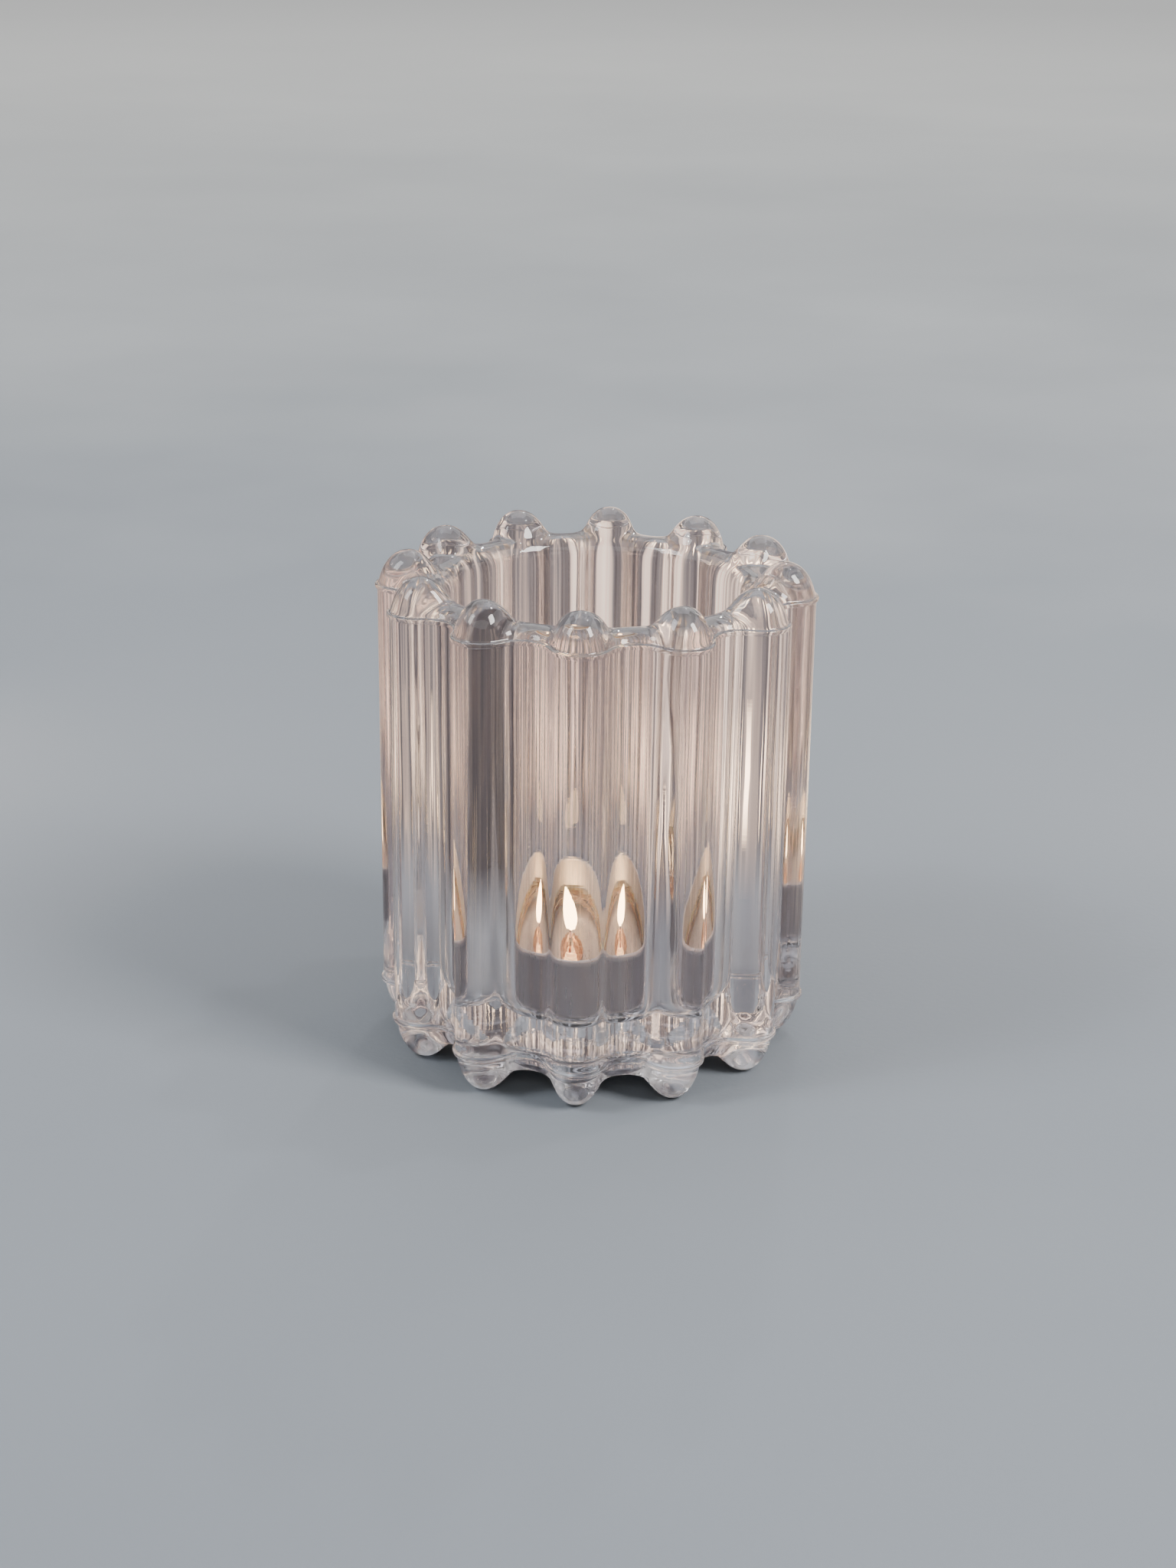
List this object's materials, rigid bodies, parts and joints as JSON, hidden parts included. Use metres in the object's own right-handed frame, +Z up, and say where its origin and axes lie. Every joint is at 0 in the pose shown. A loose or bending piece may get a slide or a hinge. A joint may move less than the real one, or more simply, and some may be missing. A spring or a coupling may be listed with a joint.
{
  "type": "tealight holder",
  "caption": "Fluted clear pressed-glass tumbler with domed column ends and rounded feet that holds one lift-out tealight in its round cavity.",
  "frame": {"origin": "centre of the glass at the height of its feet", "axes": "+Z up along the glass's axis; -Y runs through the middle of one column; +X to the right seen from -Y"},
  "size_m": [0.0632, 0.0632, 0.0727],
  "materials": {
    "clear_glass": "clear fire-polished pressed glass",
    "cup_aluminium": "thin drawn aluminium, satin",
    "paraffin_wax": "translucent white paraffin wax, melted and clear round the wick",
    "wick_cotton": "waxed cotton, charred above the wax",
    "tinned_steel": "tinned sheet, satin"
  },
  "bodies": {
    "holder": {"glass_holder": "clear_glass"},
    "tealight": {"tealight_cup": "cup_aluminium", "wax": "paraffin_wax", "wick": "wick_cotton", "wick_sustainer": "tinned_steel"}
  },
  "joints": [
    {"name": "tealight_lift", "type": "slide", "parent": "holder", "child": "tealight", "axis": [0, 0, 1], "range_m": [0, 0.08]}
  ]
}
